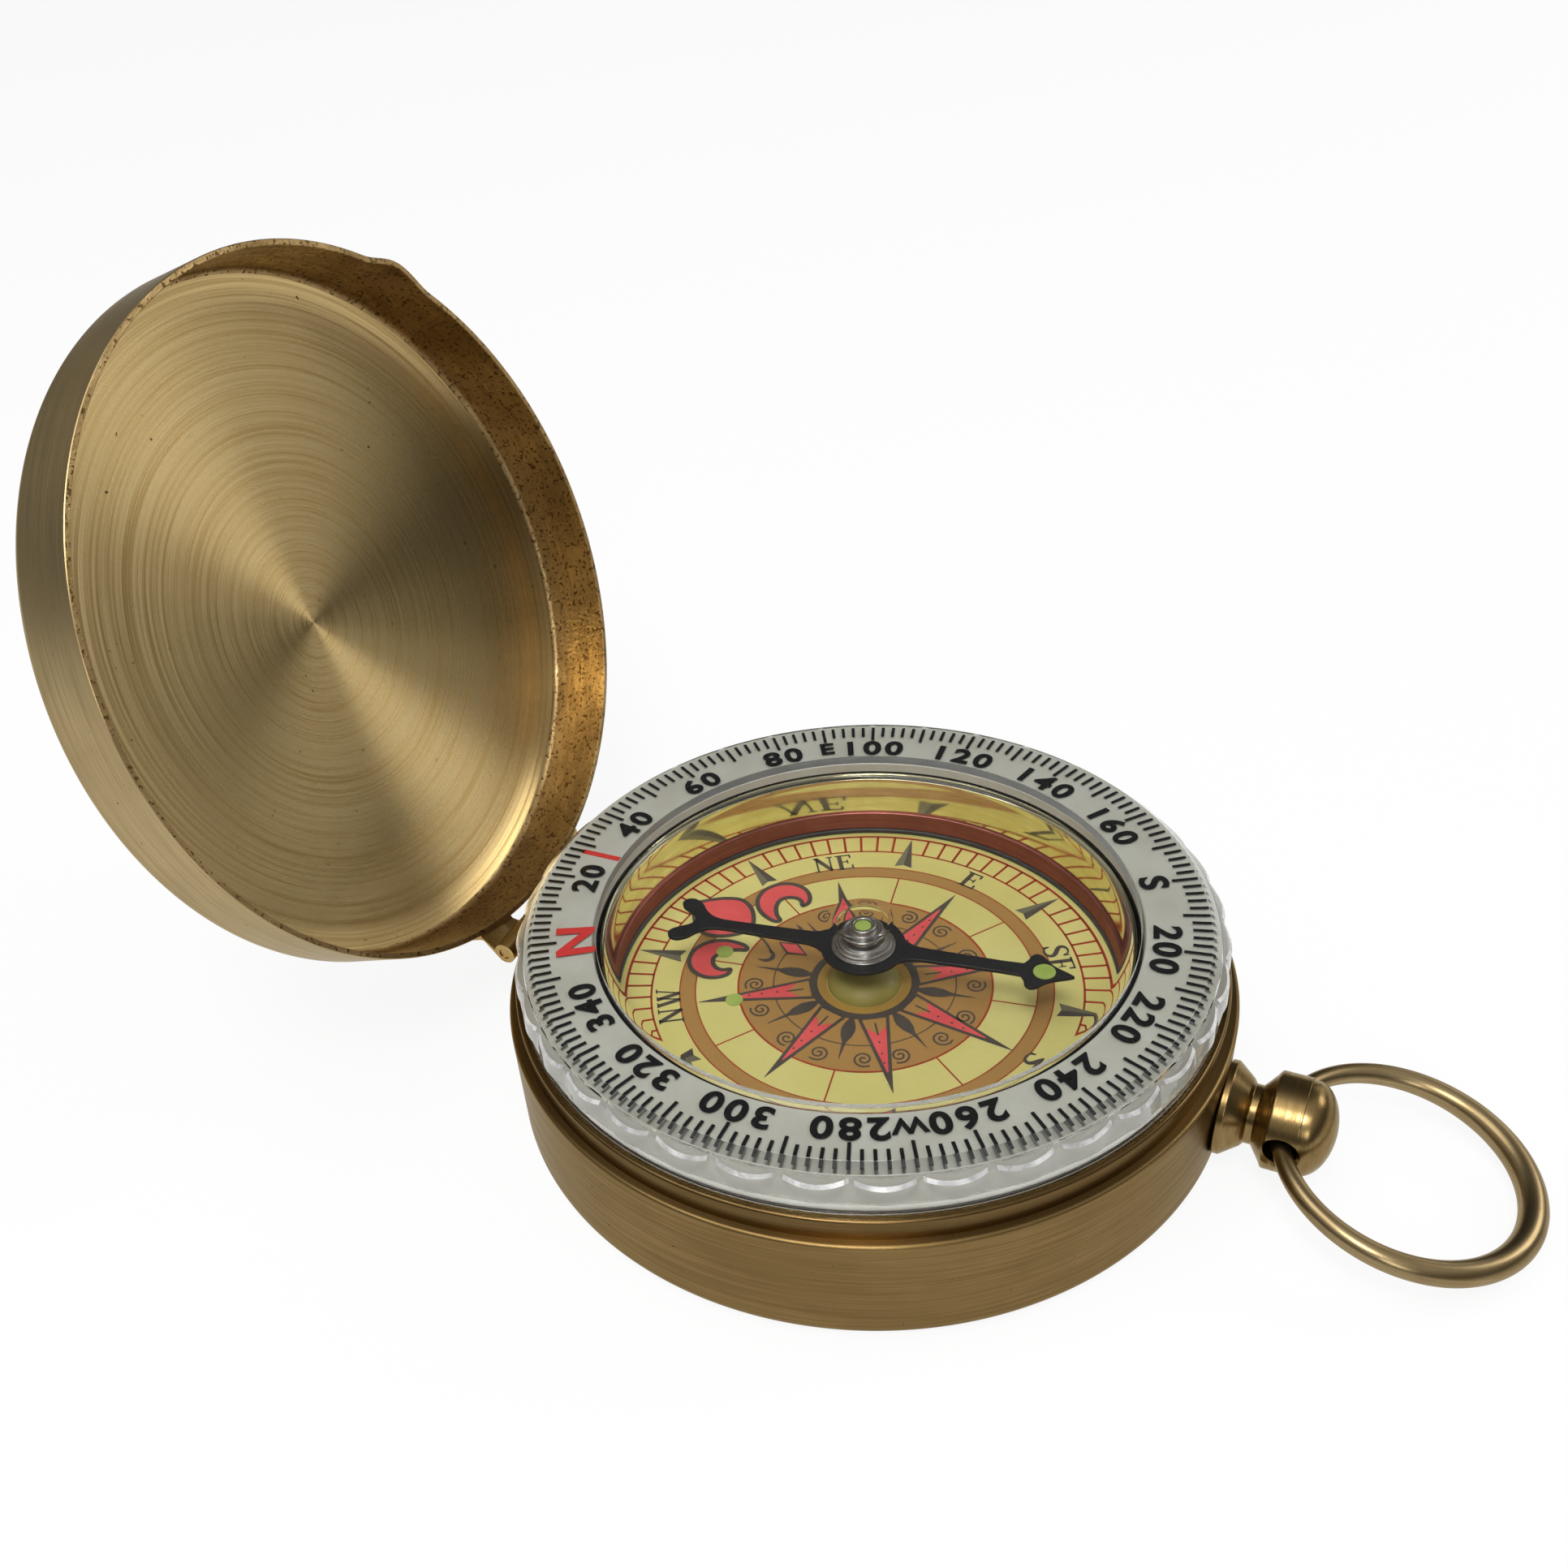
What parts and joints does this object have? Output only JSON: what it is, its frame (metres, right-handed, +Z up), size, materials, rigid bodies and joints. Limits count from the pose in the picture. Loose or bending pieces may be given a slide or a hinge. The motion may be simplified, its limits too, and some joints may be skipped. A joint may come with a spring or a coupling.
{
  "type": "pocket compass",
  "caption": "Round brass pocket compass with a hinged domed lid, a turning clear bezel, a pivoting needle over a printed rose dial, and a pendant with a swinging bow.",
  "frame": {"origin": "centre of the case's flat bottom face, on the needle's axis", "axes": "+Z up along the needle's axis, +X towards the pendant and its bow, -X towards the lid hinge, whose axis lies along Y"},
  "size_m": [0.0944, 0.05, 0.0543],
  "materials": {
    "case_brass": "satin, turned",
    "lid_brass": "brushed in rings, lacquered",
    "bright_brass": "polished",
    "black_plastic": "moulded",
    "white_plastic": "moulded",
    "boss_plastic": "moulded",
    "dial_print": "printed",
    "green_lume": "luminous paint",
    "grey_lume": "luminous, fine grained",
    "copper": "satin copper",
    "mirror_ring": "polished",
    "clear_crystal": "clear, polished",
    "clear_plastic": "clear plastic, polished",
    "scale_film": "clear film with a printed scale",
    "red_paint": "painted line",
    "steel": "drawn",
    "silver": "turned, plated",
    "black_enamel": "satin enamel",
    "jewel": "polished"
  },
  "bodies": {
    "case": {"case_cup": "case_brass", "case_knuckle": "bright_brass", "neck_ring": "bright_brass", "inner_tray": "black_plastic", "capsule_body": "white_plastic", "dial_plate": "dial_print", "dial_dots": "green_lume", "dial_gasket": "black_plastic", "damping_ring": "copper", "reflector_ring": "mirror_ring", "crystal": "clear_crystal", "luminous_ring": "grey_lume", "index_mark": "red_paint", "bezel_spring": "white_plastic", "pivot_boss": "boss_plastic", "pivot_pin": "steel", "pendant": "bright_brass", "pendant_nut": "bright_brass"},
    "lid": {"lid_shell": "lid_brass", "lid_knuckle_near": "bright_brass", "lid_knuckle_far": "bright_brass", "hinge_pin": "steel"},
    "bezel": {"bezel_ring": "clear_plastic", "bezel_scale": "scale_film"},
    "needle": {"needle_blade": "black_enamel", "needle_hub": "silver", "needle_jewel": "jewel", "hub_dot": "green_lume", "tip_dot": "green_lume"},
    "bow": {"bow_ring": "bright_brass"}
  },
  "joints": [
    {"name": "lid_hinge", "type": "hinge", "parent": "case", "child": "lid", "pos_m": [-0.02563, 0, 0.00737], "axis": [0, -1, 0], "range_deg": [-110.4, 0]},
    {"name": "bezel_turn", "type": "hinge", "parent": "case", "child": "bezel", "pos_m": [0, 0, 0.012], "axis": [0, 0, 1], "continuous": true},
    {"name": "needle_turn", "type": "hinge", "parent": "case", "child": "needle", "pos_m": [0, 0, 0.01], "axis": [0, 0, 1], "continuous": true},
    {"name": "bow_swing", "type": "hinge", "parent": "case", "child": "bow", "pos_m": [0.0291, 0, 0.0045], "axis": [0, -1, 0], "range_deg": [-80, 110]}
  ]
}
